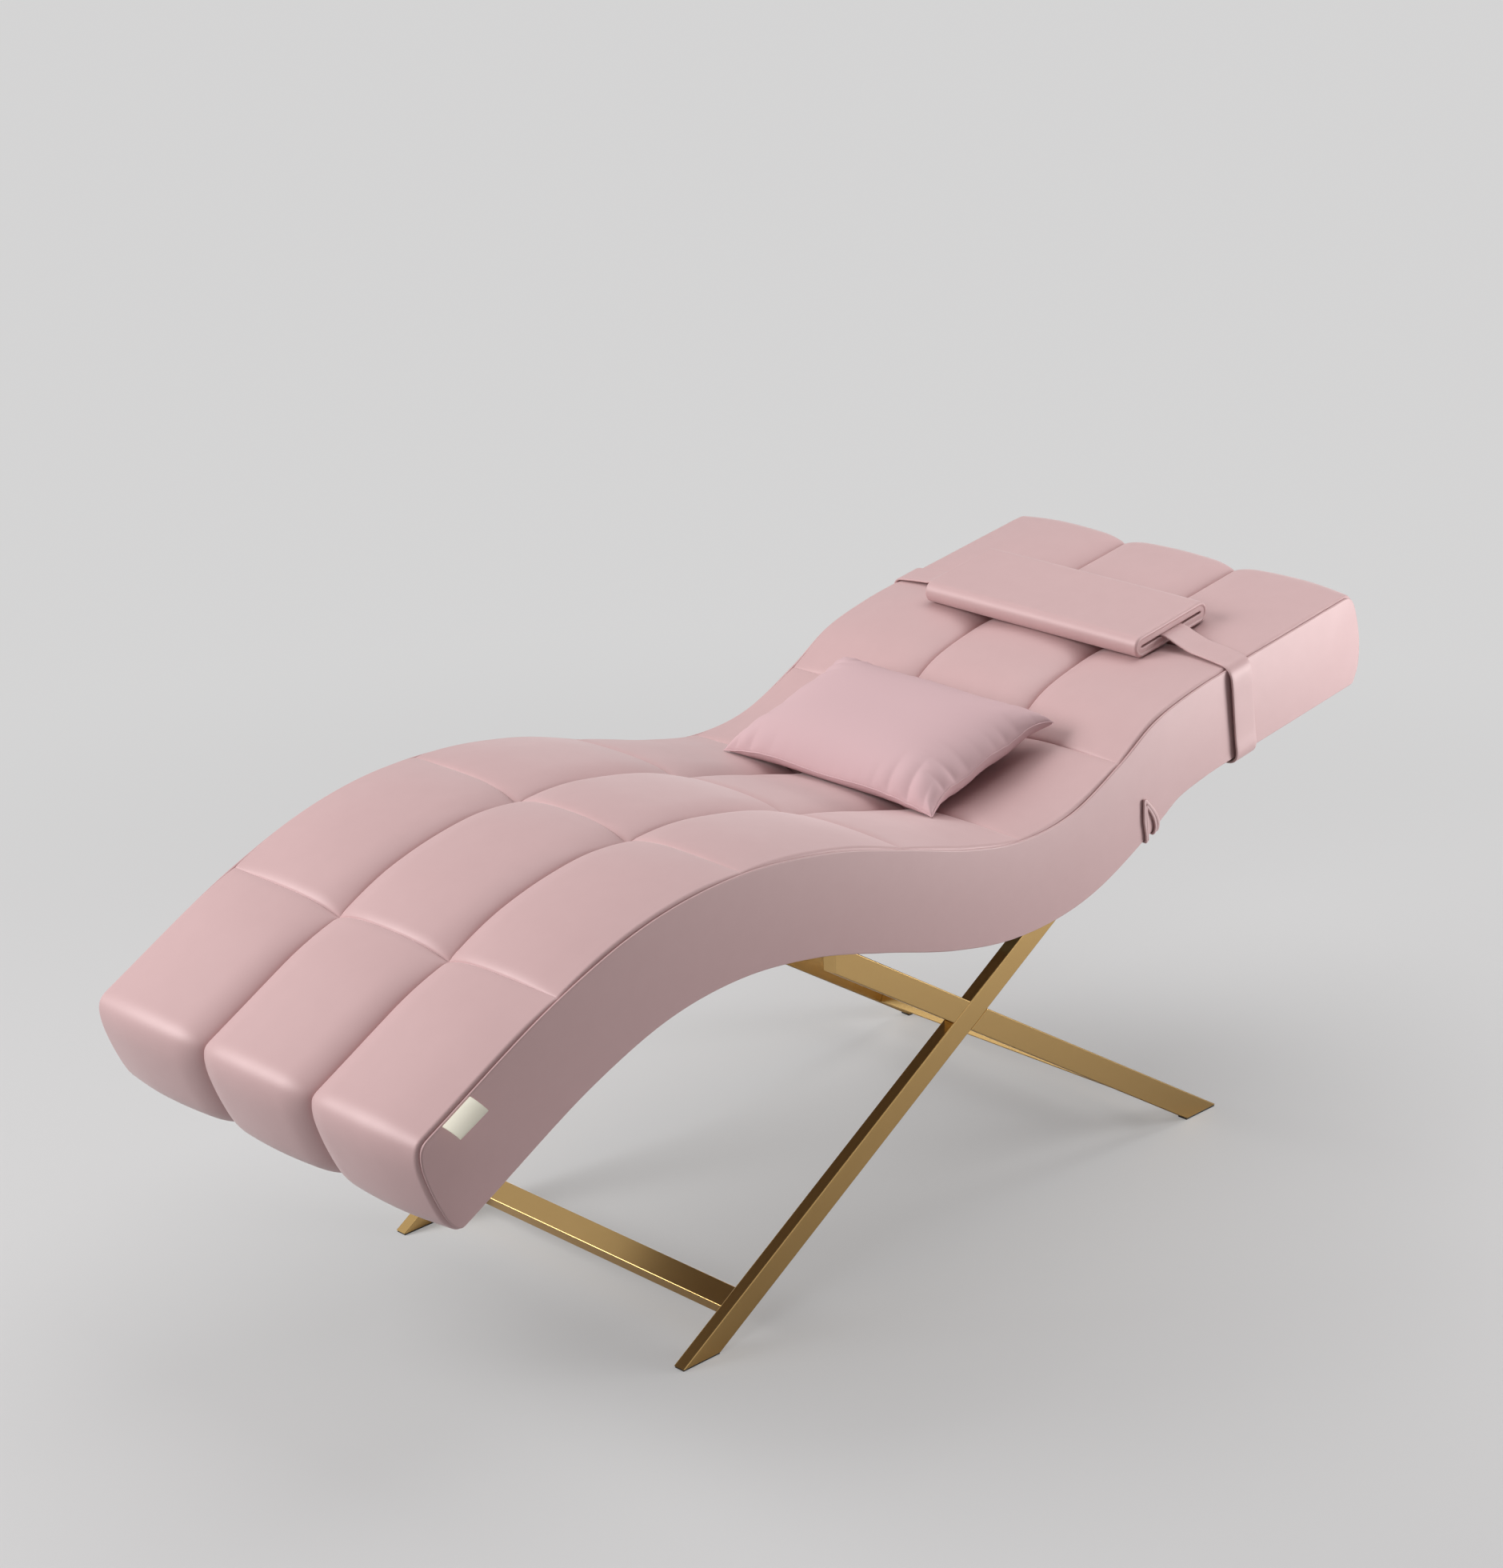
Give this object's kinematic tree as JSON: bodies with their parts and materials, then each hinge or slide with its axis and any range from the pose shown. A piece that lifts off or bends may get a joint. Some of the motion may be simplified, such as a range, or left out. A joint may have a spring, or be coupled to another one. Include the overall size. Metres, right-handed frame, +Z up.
{
  "type": "eyelash extension bed",
  "caption": "Wave-shaped salon treatment bed with a quilted padded body, sliding headrest pad on a strap, loose pillow and crossed tube base.",
  "frame": {"origin": "on the floor, under the middle of the bed's overall box", "axes": "+X from the foot end to the head end, +Y from the side with the label and pleats to the far side, +Z up"},
  "size_m": [1.889, 0.6588, 0.7803],
  "materials": {
    "leather": "smooth matte dusty pink faux leather",
    "satin": "dusty pink satin with a soft sheen",
    "brass": "brushed satin brass plating",
    "steel": "zinc plated, dull",
    "plywood": "unfinished plywood and softwood",
    "foam": "open-cell polyurethane foam",
    "nylon": "dark matte nylon",
    "ribbon": "woven cream ribbon, bare"
  },
  "bodies": {
    "bed": {"side_rail_near": "plywood", "side_rail_far": "plywood", "end_board_foot": "plywood", "end_board_head": "plywood", "batten_1": "plywood", "batten_2": "plywood", "batten_3": "plywood", "batten_4": "plywood", "deck_board": "plywood", "mount_batten_head": "plywood", "mount_batten_foot": "plywood", "leg_long_near": "brass", "leg_long_far": "brass", "leg_upper_near": "brass", "leg_upper_far": "brass", "leg_end_cap_near": "brass", "leg_end_cap_far": "brass", "leg_lower_near": "brass", "leg_lower_far": "brass", "crossbar_front": "brass", "crossbar_rear": "brass", "foot_glide_front_near": "nylon", "foot_glide_front_far": "nylon", "foot_glide_rear_near": "nylon", "foot_glide_rear_far": "nylon", "mount_plate_head_near": "steel", "mount_plate_head_far": "steel", "mount_plate_foot_near": "steel", "mount_plate_foot_far": "steel", "mount_bolt_1": "steel", "mount_bolt_2": "steel", "mount_bolt_3": "steel", "mount_bolt_4": "steel", "mount_bolt_5": "steel", "mount_bolt_6": "steel", "mount_bolt_7": "steel", "mount_bolt_8": "steel", "foam_core": "foam", "end_foam_foot": "foam", "end_foam_head": "foam", "underside_lining": "leather", "side_panel_near": "leather", "side_panel_far": "leather", "welt_near": "leather", "welt_far": "leather", "quilted_cover": "leather", "pleat_outer": "leather", "pleat_inner": "leather", "pleat_tuck": "leather", "label_tab": "ribbon"},
    "headrest_strap": {"headrest_strap": "leather", "strap_fastener": "nylon"},
    "headrest_pad": {"headrest_pad_upper": "leather", "headrest_pad_lower": "leather"},
    "pillow": {"pillow": "satin"}
  },
  "joints": [
    {"name": "headrest_slide", "type": "slide", "parent": "bed", "child": "headrest_strap", "axis": [0.9875, 0, 0.1574], "range_m": [-0.02, 0.17]},
    {"name": "pad_shift", "type": "slide", "parent": "headrest_strap", "child": "headrest_pad", "axis": [0, 1, 0], "range_m": [-0.01, 0.01]},
    {"name": "pillow_lift", "type": "slide", "parent": "bed", "child": "pillow", "axis": [0, 0, 1], "range_m": [0, 0.3]}
  ]
}
